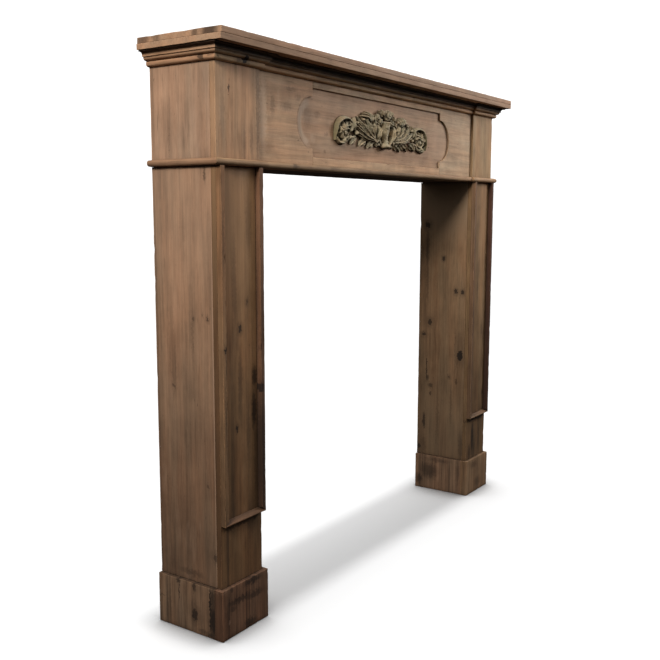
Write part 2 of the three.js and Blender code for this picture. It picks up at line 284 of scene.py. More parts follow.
MARKS = {
    "left_leg_front": [
        ("knot", -584, 660, 5, 8, 0.85), ("knot", -597, 449, 3.5, 6, 0.85),
        ("stain", -584, 545, 6, 75, 0.4), ("stain", -540, 478, 8, 40, 0.85),
        ("stain", -538, 552, 8, 22, 0.8), ("stain", -560, 420, 5, 90, 0.3),
        ("stain", -534, 400, 7, 130, 0.5), ("stain", -566, 50, 12, 9, 0.5),
        # The line at -632 is a painted shadow beside the outer stile.
        ("stain", -600, 760, 6, 90, 0.3), ("line", -632, 560, 5, 480, 0.75),
        # The stain at 240 is a painted shadow under the rail.
        ("stain", -585, 240, 75, 4, 0.6), ("stain", -552, 880, 9, 70, 0.35),
        # The pale patch at the top is painted light.
        ("knot", -561, 715, 3, 5, 0.6), ("pale", -575, 930, 110, 190, 0.5),
        ("line", -652, 560, 3, 460, 0.55), ("stain", -612, 300, 7, 60, 0.3),
        ("stain", -556, 240, 9, 50, 0.35), ("knot", -606, 95, 4, 6, 0.6),
    ],
    "left_leg_outer_stile": [
        ("knot", -644, 622, 3.5, 6, 0.9), ("stain", -641, 585, 4, 24, 0.5),
        ("stain", -645, 500, 2, 60, 0.4), ("stain", -640, 400, 3, 50, 0.4),
        ("stain", -646, 850, 3, 60, 0.4),
    ],
    "left_leg_inner_stile": [
        ("knot", -527, 527, 6, 10, 0.9), ("stain", -527, 385, 9, 130, 0.75),
        ("stain", -524, 640, 5, 60, 0.4),
    ],
    "left_leg_outer_side": [
        ("knot", 62, 536, 5, 6, 0.55), ("stain", 61, 580, 7, 55, 0.28), ("knot", -36, 684, 3.5, 4, 0.7),
        ("knot", -49, 179, 7, 8, 0.6), ("stain", -34, 976, 3, 14, 0.6), ("knot", 4, 683, 2.5, 3, 0.55),
        ("stain", -22, 694, 2, 5, 0.4), ("stain", 6, 640, 3, 60, 0.3), ("line", 108, 540, 3, 420, 0.35),
        ("stain", 52, 360, 9, 70, 0.1), ("stain", -10, 460, 5, 80, 0.1),
        ("light", -50, 560, 1.5, 440, 0.45), ("stain", 84, 300, 8, 60, 0.15),
        ("stain", 66, 640, 6, 120, 0.16), ("stain", 20, 130, 30, 7, 0.4),
        ("knot", -30, 330, 2.5, 4, 0.5), ("stain", 30, 860, 7, 60, 0.15),
        # The pale patch at the top is painted light.
        ("pale", 30, 950, 130, 190, 0.26),
    ],
    "left_plinth_outer_side": [
        ("knot", 6, 41, 9, 13, 0.85), ("stain", 7, 103, 4, 9, 0.7), ("stain", 53, 107, 6, 5, 0.7),
        ("stain", 104, 63, 12, 2, 0.5), ("crack", 52, 84, 0.8, 27, 0.8),
        ("crack", -39, 62, 2.6, 52, 0.95), ("stain", -49, 40, 12, 42, 0.95),
        ("stain", -47, 88, 8, 26, 0.8), ("stain", -44, 6, 14, 6, 0.8), ("stain", -58, 92, 3, 5, 0.6),
        ("stain", -62, 50, 5, 30, 0.5), ("stain", 80, 50, 5, 40, 0.25), ("stain", -20, 10, 20, 5, 0.4),
    ],
    "left_plinth_front": [
        ("stain", -631, 106, 4, 5, 0.6), ("stain", -604, 76, 36, 7, 0.65),
        ("stain", -556, 70, 28, 7, 0.6), ("stain", -562, 104, 28, 7, 0.75),
        ("stain", -629, 62, 9, 6, 0.5), ("pale", -639, 36, 3, 3, 0.7), ("stain", -573, 12, 18, 9, 0.7),
        ("pale", -652, 108, 9, 3, 0.5), ("stain", -646, 40, 6, 34, 0.4),
    ],
    "lintel_left_side": [
        ("line", -86, 1108, 1.2, 112, 0.55), ("line", 106, 1108, 4, 112, 0.3),
        ("crack", 60, 1050, 0.8, 40, 0.3), ("stain", -76, 1080, 4, 60, 0.22),
        ("stain", 70, 1090, 14, 40, 0.14),
    ],
    "right_leg_inner_side": [
        ("knot", 85, 861, 9, 10, 0.8), ("stain", 84, 790, 6, 60, 0.5), ("stain", 83, 680, 4, 60, 0.35),
        ("knot", 27, 756, 5, 6, 0.8), ("knot", -18, 653, 6, 7, 0.85), ("knot", -41, 652, 6, 7, 0.85),
        ("stain", -58, 583, 4, 48, 0.85), ("knot", 72, 551, 8, 9, 0.8), ("knot", 93, 510, 7, 6, 0.8),
        ("knot", -37, 450, 10, 17, 0.95), ("stain", -36, 478, 13, 42, 0.4),
        ("crack", 82, 396, 1.6, 40, 0.9), ("stain", 78, 368, 6, 9, 0.6), ("stain", 67, 344, 8, 8, 0.6),
        ("knot", 0, 378, 4, 5, 0.6), ("stain", -25, 366, 4, 9, 0.5), ("stain", 67, 318, 4, 6, 0.6),
        ("stain", 88, 224, 5, 26, 0.75), ("pale", 1, 890, 4, 62, 0.6), ("knot", 105, 135, 6, 8, 0.8),
        # The pale patch at 960 is painted light in the lintel's shadow.
        ("stain", -20, 470, 3, 60, 0.4), ("pale", 20, 960, 110, 120, 0.95),
        ("pale", 20, 200, 110, 130, 0.16), ("stain", -46, 150, 8, 50, 0.45),
        ("stain", 90, 140, 10, 34, 0.4), ("stain", 40, 250, 5, 90, 0.3), ("stain", -8, 290, 4, 60, 0.3),
        ("light", -30, 190, 3, 70, 0.25),
    ],
    "right_leg_front": [
        ("knot", 631, 318, 5, 10, 0.7), ("stain", 563, 180, 10, 52, 0.85),
        # The stain at 239 is a painted shadow under the rail.
        ("stain", 585, 239, 75, 4, 0.75), ("stain", 547, 589, 4, 12, 0.6),
        ("stain", 612, 525, 4, 30, 0.5), ("stain", 575, 650, 4, 40, 0.4),
        ("stain", 543, 135, 10, 25, 0.55), ("stain", 574, 140, 9, 30, 0.5),
        ("stain", 607, 180, 5, 50, 0.35),
    ],
    "right_plinth_inner_side": [
        ("stain", 62, 62, 30, 24, 0.65), ("stain", 98, 29, 11, 16, 0.7), ("stain", 30, 100, 40, 7, 0.4),
        ("stain", -40, 70, 6, 40, 0.35),
    ],
    "right_plinth_front": [
        ("stain", 590, 30, 20, 14, 0.4), ("stain", 560, 92, 20, 10, 0.4),
    ],
    "block_left_front": [
        ("crack", -612, 1145, 2, 9, 0.75), ("stain", -522, 1105, 4, 100, 0.4),
        ("stain", -542, 1060, 5, 40, 0.25), ("stain", -632, 1090, 7, 50, 0.25),
        ("stain", -566, 1045, 6, 30, 0.25), ("line", -516, 1108, 1.5, 112, 0.6),
    ],
    "frieze_left_facing": [
        ("stain", 1005, -396, 2, 2, 0.8), ("stain", 1001, -391, 2, 2, 0.8),
        ("pale", 1108, -493, 74, 11, 0.75), ("stain", 1128, -461, 22, 7, 0.3),
        ("stain", 1130, -410, 9, 16, 0.3), ("stain", 1168, -398, 3.5, 22, 0.3),
        ("stain", 1154, -368, 8, 10, 0.22), ("stain", 1040, -482, 10, 22, 0.2),
        # The rim is a painted shadow along the bay.
        ("pale", 1140, -440, 30, 5, 0.2), ("rim", 1103.5, -312, 2.2, 60, 0.25),
    ],
    "frieze_backing_board": [
        # The rim is a painted shadow along the bay's wall.
        ("arc", 1103.5, -312, 9, 47, 0.95), ("rim", 1103.5, -312, 1.5, 57, 0.45),
        ("stain", 1118, -327, 24, 16, 0.25), ("stain", 1124, -288, 8, 12, 0.25),
        ("stain", 1082, -250, 4, 8, 0.35), ("stain", 1043, -258, 4, 5, 0.3),
        ("pale", 1070, -306, 9, 9, 0.4), ("pale", 1105, 325, 60, 60, 0.3),
    ],
    "astragal_centre": [
        ("stain", 1002, -396, 6, 9, 0.5), ("stain", 1002, -250, 5, 14, 0.3),
    ],
    "cornice_left_return": [
        # The line at the top is a painted shadow under the shelf.
        ("knot", 1202, -38, 5, 7, 0.8), ("stain", 1204, -60, 2, 8, 0.5), ("line", 1227, 0, 7, 900, 0.9),
    ],
    "cornice_left_block": [
        ("knot", 1205, -572, 7, 9, 0.95), ("knot", 1200, -650, 2, 3, 0.7),
        # The line at the top is a painted shadow under the shelf.
        ("knot", 1201, -591, 4, 6, 0.5), ("line", 1225, 0, 13, 3000, 0.94),
    ],
    "cornice_centre": [
        # A painted shadow under the shelf.
        ("line", 1225, 0, 14, 3000, 0.94),
    ],
    "cornice_right_block": [
        # A painted shadow under the shelf.
        ("line", 1225, 0, 13, 3000, 0.94),
    ],
    "shelf_upper_board": [
        ("stain", -82, -680, 19, 26, 0.8), ("stain", -45, -680, 8, 20, 0.6),
        ("stain", 96, -680, 16, 22, 0.55), ("stain", 60, -684, 9, 12, 0.4),
    ],
}


def distance(n, mark, grain, rough):
    """How far a place is from a mark, which ends at 1."""
    if mark.kind in RINGS:
        flat = n.vector("MULTIPLY_ADD", grain, (1, 1, 0), (-mark.along, -mark.across, 0))
        from_ring = n.math("SUBTRACT", n.length(flat), mark.half_length)
        return n.math("ABSOLUTE", n.math("DIVIDE", from_ring, mark.half_width))
    scale = (1 / mark.half_length, 1 / mark.half_width, 0)
    offset = (-mark.along / mark.half_length, -mark.across / mark.half_width, 0)
    place = grain if mark.kind in STRAIGHT else rough
    return n.length(n.vector("MULTIPLY_ADD", place, scale, offset))


def half_ring(n, mark, rough):
    """Leaves a ring's half on the -X side, and only on faces towards the room."""
    left = n.step(n.dot(rough, (1, 0, 0)), mark.along - 0.5 * mark.half_length, mark.along, 1.0, 0.0)
    return n.math("MULTIPLY", left, n.step(n.facing(FRONT), 0.0, 0.5))


def add_marks(n, name, grain, rough):
    """How dark and how pale a board's marks make it, painted shadows and painted light among them, and how
    far its knots bend the rings.
    """
    dark, pale, bulge = 0.0, 0.0, 0.0
    for mark in (Mark(*row) for row in MARKS.get(name, [])):
        away = distance(n, mark, grain, rough)
        soft = CRISP_EDGE if mark.kind in CRISP else SOFT_EDGE
        mask = n.step(away, 1 - soft, 1 + soft, mark.strength, 0.0)
        if mark.kind in RINGS:
            mask = n.math("MULTIPLY", mask, half_ring(n, mark, rough))
        if mark.kind in PALE:
            pale = n.math("MAXIMUM", pale, mask)
            continue
        if mark.kind == "knot":
            halo = n.step(away, 1.0, HALO_END, HALO_STRENGTH * mark.strength, 0.0)
            mask = n.math("MAXIMUM", mask, halo)
            bulge = n.math("ADD", bulge, n.step(away, 0.5, KNOT_BEND_END, KNOT_BEND, 0.0))
        dark = n.math("MAXIMUM", dark, mask)
    return dark, pale, bulge


# Old pine

# The yearly rings' width, how far they stray and wave and lean, how many rings' width their spacing
# varies by, and where their pith lies beside the board, in millimetres.
RING_WIDTH = 8.5
RING_STRAY = 60
RING_WAVE = 7
RING_LEAN = 40
RING_VARIANCE = 4.0
PITH_SWING = 60
PITH_SWING_TURN = 2.3
PITH_DEPTH = 45
PITH_DEPTH_STEP = 50

STRAY = Layer((420, 75, 75), 0)
WAVE = Layer((90, 16, 16), 1)
SPACING = Layer((900, 50, 50), 2)
FIBRES = Layer((45, 1.3, 1.3), 5, 2.0, 0.7)
BLOTCHES = Layer((60, 60, 90), 6, 4.0, 0.62)
TINTS = Layer((260, 40, 40), 7, 3.0)
SCRATCHES = Layer((60, 2.6, 2.6), 8, 1.0)
RESIDUE = Layer((150, 34, 34), 9, 3.0)
RING_PATCHES = Layer((300, 40, 40), 10)
FLECKS = Layer((17, 4.5, 4.5), 11, 1.0)

# Zones are as broad as their board's look says. Streaks are narrower by a share.
ZONE_LENGTH = 700
STREAK_LENGTH = 130
STREAK_SHARE = 0.3

# Marks have ragged edges, from noise of this scale that shifts a place by this much.
RAGGED_SCALE = 0.16
RAGGED_SHIFT = (24, 12, 12)

# Steps: the two values between which each runs, and what it gives at them, or else 0 and 1.
LATE_WOOD = (0.2, 0.85)
RING_END = (0.88, 1.0, 1.0, 0.0)
RING_STRENGTH = (0.4, 0.7, 0.0, 0.9)
ZONE_SHADE = (0.25, 0.75, -0.15, 0.13)
STREAK_SHADE = (0.25, 0.75, -0.17, 0.14)
FIBRE_SHADE = (0.2, 0.8, -0.09, 0.08)
BLOTCH_SHADE = (0.25, 0.75, -0.17, 0.14)
SCRATCH_SHADE = (0.68, 0.78, 1.0, 0.62)
FLECK_SHADE = (0.74, 0.82, 1.0, 0.5)
RESIDUE_STRENGTH = (0.55, 0.75, 0.0, 0.2)
EDGE_TURN = (0.01, 0.2)
EDGE_STRENGTH = (0.3, 0.7, 0.3, 0.85)
SHADE_AND_DIRT_PATCHES = (0.2, 0.7, 1.0, 0.7)
TINT_CHANGE = (0.3, 0.7)
ROUGHNESS = (0.2, 0.8, 0.78, 0.62)

# What the rings add to the shade, and the brightness that the shade is added to.
RING_SHADE = -0.14
MIDDLE_SHADE = 1.04

# A painted face shade fades in between these shares of facing its way. A foot darkens between these
# heights.
FACE_TURN = (0.5, 0.9)
FOOT_HEIGHTS = (40, 1000)

# The radius of a pale arris, how far dirt reaches out of a joint, and the shares of open air between
# which it fades.
EDGE_RADIUS = 2.6
JOINT_REACH = 3
JOINT_AIR = (0.45, 0.85)
SPECULAR = 0.22

# How high late wood and fibres stand in the bump and how deep marks lie, and how strong the bump is.
RING_HEIGHT = 0.35
FIBRE_HEIGHT = 0.6
MARK_DEPTH = 0.8
BUMP = 0.55

WARM = (1.05, 0.97, 0.92)
COOL = (0.965, 1.0, 1.01)
PALE_AND_PAINTED_LIGHT_TINT = (1.28, 1.42, 1.6)
EDGE_TINT = (1.55, 1.5, 1.4)
SHADE_AND_DIRT_COLOUR = (0.016, 0.009, 0.005, 1.0)
MARK_AND_SHADOW_COLOUR = (0.010, 0.006, 0.004, 1.0)


def late_wood(n, grain, centre, seed, bulge):
    """How dark the yearly rings are. They lie round a pith beside the board."""
    stray = n.math("SUBTRACT", n.noise(grain, STRAY, seed), 0.5)
    wave = n.math("SUBTRACT", n.noise(grain, WAVE, seed), 0.5)
    bend = n.math("MULTIPLY_ADD", stray, RING_STRAY, n.math("MULTIPLY_ADD", wave, RING_WAVE, bulge))
    lean = n.add("CombineXYZ", {0: 0.0, 1: bend, 2: n.math("MULTIPLY", stray, RING_LEAN)})
    across = centre[1] + PITH_SWING * math.sin(seed * PITH_SWING_TURN)
    through = centre[2] + PITH_DEPTH + PITH_DEPTH_STEP * (seed % 3)
    from_pith = n.vector("ADD", n.vector("ADD", grain, (0, -across, -through)), lean)
    radius = n.length(n.vector("MULTIPLY", from_pith, (0, 1, 1)))
    spacing = n.math("MULTIPLY", n.noise(grain, SPACING, seed), RING_VARIANCE)
    phase = n.math("FRACT", n.math("MULTIPLY_ADD", radius, 1 / RING_WIDTH, spacing))
    return n.math("MULTIPLY", n.step(phase, *LATE_WOOD), n.step(phase, *RING_END))


def brightness(n, look, grain, late, streaks, fibres, blotches, seed):
    """How bright the wood is from place to place: broad zones, streaks, rings that are plain in some
    places and faint in others, dry fibres, blotches, scratches and short flecks."""
    zones = n.noise(grain, Layer((ZONE_LENGTH, look.zone, look.zone), 3), seed)
    rings = n.math("MULTIPLY", late, n.step(n.noise(grain, RING_PATCHES, seed), *RING_STRENGTH))
    shade = n.math("ADD", n.step(zones, *ZONE_SHADE), n.step(streaks, *STREAK_SHADE))
    shade = n.math("MULTIPLY_ADD", rings, RING_SHADE, shade)
    shade = n.math("MULTIPLY", shade, look.grain)
    shade = n.math("ADD", shade, n.step(fibres, *FIBRE_SHADE))
    shade = n.math("ADD", shade, n.step(blotches, *BLOTCH_SHADE))
    scratches = n.step(n.noise(grain, SCRATCHES, seed), *SCRATCH_SHADE)
    flecks = n.step(n.noise(grain, FLECKS, seed), *FLECK_SHADE)
    return n.math("MULTIPLY", n.math("ADD", shade, MIDDLE_SHADE), n.math("MULTIPLY", scratches, flecks))


def worn_edges(n, streaks):
    """How pale the worn arrises are."""
    rounded = n.add("Bevel", {"Radius": EDGE_RADIUS * MM}, samples=4)
    turn = n.math("SUBTRACT", 1.0, n.facing(rounded))
    return n.math("MULTIPLY", n.step(turn, *EDGE_TURN), n.step(streaks, *EDGE_STRENGTH))


def corner_shade_and_dirt(n, look, blotches):
    """How dark the corners and joints are: painted shade and soiling in the corners, soiling in the
    joints.
    """
    reach, full, none = look.corner
    corners = n.step(n.open_air(reach), full, none, look.shade_and_dirt, 0.0)
    corners = n.math("MULTIPLY", corners, n.step(blotches, *SHADE_AND_DIRT_PATCHES))
    joints = n.step(n.open_air(JOINT_REACH), *JOINT_AIR, look.joint, 0.0)
    return n.math("MAXIMUM", corners, joints)


def wood(name, axes, centre, seed, tone, look):
    """Old pine. axes names the directions along, across and through the grain, and centre is the
    board's middle in them."""
    material, n = new_material(name)
    place = n.millimetres()
    parts = n.parts(place)
    grain = n.add("CombineXYZ", {i: parts["XYZ".index(a)] for i, a in enumerate(axes)})
    blur = n.add("TexNoise", {"Vector": grain, "Scale": RAGGED_SCALE, "Detail": 3.0}, 1)
    rough = n.vector("MULTIPLY_ADD", n.vector("SUBTRACT", blur, (0.5,) * 3), RAGGED_SHIFT, grain)
    dark, pale, bulge = add_marks(n, name, grain, rough)

    late = late_wood(n, grain, centre, seed, bulge)
    streak_width = STREAK_SHARE * look.zone
    streaks = n.noise(grain, Layer((STREAK_LENGTH, streak_width, streak_width), 4, 4.0, 0.72), seed)
    fibres = n.noise(grain, FIBRES, seed)
    blotches = n.noise(place, BLOTCHES, seed)
    value = brightness(n, look, grain, late, streaks, fibres, blotches, seed)
    # Painted shade on the faces of some boards that turn a given way.
    if name in PAINTED_FACE_SHADES:
        way, share = PAINTED_FACE_SHADES[name]
        value = n.math("MULTIPLY", value, n.step(n.facing(way), *FACE_TURN, 1.0, share))
    if look.foot < 1:
        value = n.math("MULTIPLY", value, n.step(parts[2], *FOOT_HEIGHTS, look.foot, 1.0))

    tints = n.step(n.noise(grain, TINTS, seed), *TINT_CHANGE)
    colour = n.blend(tints, tinted(tone, WARM), tinted(tone, COOL))
    colour = n.blend(1.0, colour, n.add("CombineColor", {i: value for i in range(3)}), "MULTIPLY")
    residue = n.step(n.noise(grain, RESIDUE, seed), *RESIDUE_STRENGTH)
    # Pale residue and pale marks, some of them painted light.
    colour = n.blend(n.math("MAXIMUM", residue, pale), colour, tinted(tone, PALE_AND_PAINTED_LIGHT_TINT))
    colour = n.blend(worn_edges(n, streaks), colour, tinted(tone, EDGE_TINT))
    # Painted shade and soiling in the corners, and soiling in the joints.
    colour = n.blend(corner_shade_and_dirt(n, look, blotches), colour, SHADE_AND_DIRT_COLOUR)
    # Dark marks: knots, cracks and stains, and painted shadows.
    colour = n.blend(dark, colour, MARK_AND_SHADOW_COLOUR)

    height = n.math("MULTIPLY_ADD", late, RING_HEIGHT, n.math("MULTIPLY", fibres, FIBRE_HEIGHT))
    height = n.math("SUBTRACT", height, n.math("MULTIPLY", dark, MARK_DEPTH))
    values = {"Base Color": colour, "Roughness": n.step(streaks, *ROUGHNESS),
              "Specular IOR Level": SPECULAR, "Normal": n.bump(height, BUMP)}
    n.close("OutputMaterial", n.add("BsdfPrincipled", values))
    return material


# Boards and mouldings with worn arrises

ARRIS = 0.8
CUT_SPACING = 13.0
PLINTH_CUT_SPACING = 7.0
SHARP_ANGLE = math.radians(35)
FLAT_ANGLE = math.radians(0.5)
EDGE_COSINE = 0.97

# An arris wears by at least so much, by up to so much more, and further where it is chipped.
LEAST_WEAR = 0.15
MORE_WEAR = 0.6
CHIP_WEAR = 4.2
WEAR_SIZE = 23
CHIP_SIZE = 10
CHIP_LEVEL = 0.32
CHIP_SEED_STEP = 3.1

# Wear is held back where another board is nearer than TOUCHING, and is full where it is CLEAR.
NEIGHBOUR_REACH = 4
TOUCHING = 1.0
CLEAR = 3.0
TOUCHED_WEAR = 0.08


def grain_axes(name):
    if name.startswith("shelf") or name == "lintel_soffit_board":
        return "XYZ"
    if name.endswith("_side"):
        return "ZYX"
    if name.endswith("_return"):
        return "YZX"
    if name.endswith(("_stile", "leg_front", "plinth_front")) or name.startswith("block"):
        return "ZXY"
    return "XZY"


def tree_of(name):
    mesh = frame["nodes"][name].data
    return BVHTree.FromPolygons([v.co for v in mesh.vertices], [p.vertices for p in mesh.polygons])


trees = {name: tree_of(name) for name in frame["nodes"]}


def near_nodes(name, reach):
    """Other nodes whose boxes come within reach of this one's."""
    low, high = boxes[name]
    found = []
    for other, (other_low, other_high) in boxes.items():
        apart = max(max(other_low[i] - high[i], low[i] - other_high[i]) for i in range(3))
        if other != name and apart < reach:
            found.append(other)
    return found


def cut_grid(shape, axes, spacing):
    """Cuts a shape along and across its grain, so that its long edges have points that can wander."""
    low = [min(v.co[i] for v in shape.verts) for i in range(3)]
    high = [max(v.co[i] for v in shape.verts) for i in range(3)]
    for axis in ("XYZ".index(a) for a in axes[:2]):
        count = int((high[axis] - low[axis]) / (spacing * MM))
        for k in range(1, count):
            at = Vector((0, 0, 0))
            at[axis] = low[axis] + (high[axis] - low[axis]) * k / count
            normal = Vector((0, 0, 0))
            normal[axis] = 1
            everything = shape.verts[:] + shape.edges[:] + shape.faces[:]
            bmesh.ops.bisect_plane(shape, geom=everything, plane_co=at, plane_no=normal)


def on_edge(vertex):
    normals = [f.normal for f in vertex.link_faces]
    return any(a.dot(b) < EDGE_COSINE for a in normals for b in normals)


def wear(shape, name, seed):
    """Moves the arrises inwards, less where another board touches."""
    neighbours = [trees[other] for other in near_nodes(name, NEIGHBOUR_REACH * MM)]
    shape.normal_update()
    moves = []
    for vertex in shape.verts:
        if not on_edge(vertex):
            continue
        nearest = min([t.find_nearest(vertex.co)[3] for t in neighbours], default=1.0)
        free = min(1.0, max(TOUCHED_WEAR, (nearest / MM - TOUCHING) / (CLEAR - TOUCHING)))
        at = vertex.co / MM
        drift = 0.5 + 0.5 * noise.noise(at / WEAR_SIZE + Vector((seed, 0, 0)))
        chips = noise.noise(at / CHIP_SIZE + Vector((0, seed * CHIP_SEED_STEP, 0)))
        chip = max(0.0, chips - CHIP_LEVEL)
        depth = free * (LEAST_WEAR + MORE_WEAR * drift + CHIP_WEAR * chip) * MM
        moves.append((vertex, vertex.normal * depth))
    for vertex, move in moves:
        vertex.co -= move


def finished(shape, name):
    """A mesh object with smooth shading."""
    mesh = bpy.data.meshes.new(name)
    shape.to_mesh(mesh)
    shape.free()
    mesh.shade_smooth()
    piece = bpy.data.objects.new(name, mesh)
    bpy.context.scene.collection.objects.link(piece)
    return piece


def worn_board(name, axes, seed):
    """A node's shape again, with rounded and worn arrises and large faces that stay flat."""
    shape = bmesh.new()
    shape.from_mesh(frame["nodes"][name].data)
    bmesh.ops.remove_doubles(shape, verts=shape.verts, dist=0.01 * MM)
    bmesh.ops.dissolve_limit(shape, angle_limit=FLAT_ANGLE, verts=shape.verts, edges=shape.edges)
    sharp = [e for e in shape.edges if len(e.link_faces) == 2 and e.calc_face_angle() > SHARP_ANGLE]
    bmesh.ops.bevel(shape, geom=sharp, offset=ARRIS * MM, segments=2, profile=0.5, affect="EDGES",
                    clamp_overlap=True)
    cut_grid(shape, axes, PLINTH_CUT_SPACING if "plinth" in name else CUT_SPACING)
    wear(shape, name, seed)
    bmesh.ops.triangulate(shape, faces=[f for f in shape.faces if len(f.verts) > 4])
    piece = finished(shape, name + "_worn")
    weighted = piece.modifiers.new("flat faces", "WEIGHTED_NORMAL")
    weighted.keep_sharp = False
    return piece


def add_boards():
    slots = {row["node"]: row["material_slot"] for row in frame["record"]["subparts"]}
    for seed, name in enumerate(sorted(frame["nodes"])):
        if name == "carved_ornament":
            continue
        axes = grain_axes(name)
        piece = worn_board(name, axes, seed)
        look = LOOKS[slots[name]]
        low, high = boxes[name]
        middle = (low + high) / 2 / MM
        centre = [middle["XYZ".index(a)] for a in axes]
        tone = linear(BOARD_TONES.get(name, look.tone))
        piece.data.materials.append(wood(name, axes, centre, seed, tone, look))
        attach(piece, "root")
        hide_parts(name)


# Carved ornament

# It is drawn with u to the right and v up from the panel's middle and w out of the panel, in about
# millimetres. The drawing is then fitted to the CAD node's box.

VOXEL = 1.15
SMOOTHING = 0.4
GROOVE_DEPTH = 0.3
CUPPED = -1
CUP_DEPTH = 0.62
CUP_HALF_WIDTH = 0.72
STRAND_PARTS = 16
STRAND_FULLNESS = 0.8
BALL_LEVELS = 9
BALL_SIDES = 16
VASE_SIDES = 32
VASE_RISE = 6
VASE_FLATNESS = 0.85

# Rounds of petals, as shares of the rose: distance from its middle, height and size, and then the
# tilt of the petals and by how much of a petal the round is turned.
PETAL_ROUNDS = ((0.62, 0.5, 0.44, -0.5, 0.0), (0.34, 0.74, 0.36, -0.85, 0.5))
PETAL_WIDTH = 0.72
PETAL_THICKNESS = 0.13

# A rose's dome and bud, as shares of its radius and height.
DOME_WIDTH = 0.8
DOME_HEIGHT = 0.72
BUD_WIDTH = 0.17
BUD_HEIGHT = 0.18
BUD_RISE = 0.82

# Roses of the right half: u, v, radius and height. Buds: u, v and radius.
ROSES = ((22, 47, 11, 21), (42, 36, 10.5, 17), (31, 26, 11.5, 17), (52, 22, 9, 14))
BUDS = ((60, 30, 5), (63, 14, 5), (55, 8, 4.5), (72, 26, 4.5), (112, 24, 4), (140, 14, 4), (143, -12, 4.5),
        (168, -6, 4), (214, -8, 4.5), (197, -32, 4))

# Tool marks: the size and the depth of two kinds, the level that both are cut below, and the height
# that their depth is a share of. The strands also wander sideways a little.
TOOL_MARKS = ((3.2, 1.2), (9, 1.8))
TOOL_LEVEL = 0.4
TOOL_HEIGHT = 25
WANDER_SIZE = 30
WANDER_REACH = 1.2


def swell(values, t):
    """A measure that has the three given values at a strand's root, middle and tip."""
    root, middle, tip = values
    return (1 - t) * (1 - 2 * t) * root + 4 * t * (1 - t) * middle + t * (2 * t - 1) * tip


def evenly(points, steps):
    """Points at even distances on a smooth line through the given points, with their directions."""
    known = [Vector(p) for p in points]
    known = [2 * known[0] - known[1]] + known + [2 * known[-1] - known[-2]]
    parts = 16
    dense = []
    for a, b, c, d in zip(known, known[1:], known[2:], known[3:]):
        for k in range(parts):
            t = k / parts
            dense.append(0.5 * (2 * b + (c - a) * t + (2 * a - 5 * b + 4 * c - d) * t * t
                                + (3 * b - a - 3 * c + d) * t ** 3))
    dense.append(known[-2])
    reach = [0.0]
    for a, b in zip(dense, dense[1:]):
        reach.append(reach[-1] + (b - a).length)
    result = []
    k = 0
    for i in range(steps + 1):
        goal = reach[-1] * i / steps
        while k + 2 < len(reach) and reach[k + 1] < goal:
            k += 1
        share = (goal - reach[k]) / max(1e-9, reach[k + 1] - reach[k])
        point = dense[k].lerp(dense[k + 1], min(1.0, share))
        result.append((point, (dense[k + 1] - dense[k]).normalized()))
    return result


def loft(shape, rings):
    """A closed skin over rings of points."""
    rows = [[shape.verts.new(p) for p in ring] for ring in rings]
    count = len(rings[0])
    for a, b in zip(rows, rows[1:]):
        for i in range(count):
            j = (i + 1) % count
            shape.faces.new((a[i], a[j], b[j], b[i]))
    shape.faces.new(rows[0][::-1])
    shape.faces.new(rows[-1])


def hollow(across, grooves):
    """How much of a strand's height is left at a place across it. CUPPED is one deep hollow."""
    if grooves == CUPPED:
        return 1 - CUP_DEPTH * max(0.0, 1 - (across / CUP_HALF_WIDTH) ** 2)
    if grooves == 0:
        return 1.0
    turns = grooves * (across * 0.5 + 0.5) + (grooves - 1) / 2
    return 1 - GROOVE_DEPTH * (0.5 + 0.5 * math.cos(2 * math.pi * turns))


def strand(shape, points, half_widths, heights, steps, grooves=0, side=1):
    """A carved strand along a line of points. Grooves run along it, and side -1 mirrors it."""
    rings = []
    for (centre, along), i in zip(evenly(points, steps), range(steps + 1)):
        t = i / steps
        half, height = swell(half_widths, t), swell(heights, t)
        ring = [(-1.0, -1.0), (1.0, -1.0)]
        for k in range(STRAND_PARTS + 1):
            angle = math.pi * k / STRAND_PARTS
            across = math.cos(angle)
            up = math.sin(angle) ** STRAND_FULLNESS * hollow(across, grooves)
            ring.append((across, up * height))
        rings.append([Vector((side * (centre.x + along.y * x * half), centre.y - along.x * x * half, w))
                      for x, w in ring])
    loft(shape, rings)


def ball(shape, centre, radii, turn=0.0, tilt=0.0):
    """An ellipsoid, turned in the panel's plane and tilted out of it."""
    place = Matrix.Translation(Vector(centre)) @ Matrix.Rotation(turn, 4, "Z")
    place = place @ Matrix.Rotation(tilt, 4, "Y") @ Matrix.Diagonal((*radii, 1.0))
    turns = [2 * math.pi * k / BALL_SIDES for k in range(BALL_SIDES)]
    rings = []
    for i in range(BALL_LEVELS):
        # The first and the last ring lie a little off the poles.
        polar = math.pi * (i + 0.3) / (BALL_LEVELS - 0.4)
        width, height = math.sin(polar), -math.cos(polar)
        rings.append([place @ Vector((width * math.cos(a), width * math.sin(a), height)) for a in turns])
    loft(shape, rings)


def rose(shape, u, v, radius, height, petals, spin):
    """Two rounds of tilted petals round a bud, on a dome."""
    ball(shape, (u, v, 0), (radius * DOME_WIDTH, radius * DOME_WIDTH, height * DOME_HEIGHT))
    for out, lift, size, tilt, turn in PETAL_ROUNDS:
        for k in range(petals):
            angle = spin + 2 * math.pi * (k + turn) / petals
            reach = radius * out
            centre = (u + reach * math.cos(angle), v + reach * math.sin(angle), height * lift)
            radii = (radius * size * PETAL_WIDTH, radius * size, height * PETAL_THICKNESS)
            ball(shape, centre, radii, angle, tilt)
    ball(shape, (u, v, height * BUD_RISE), (radius * BUD_WIDTH, radius * BUD_WIDTH, height * BUD_HEIGHT))


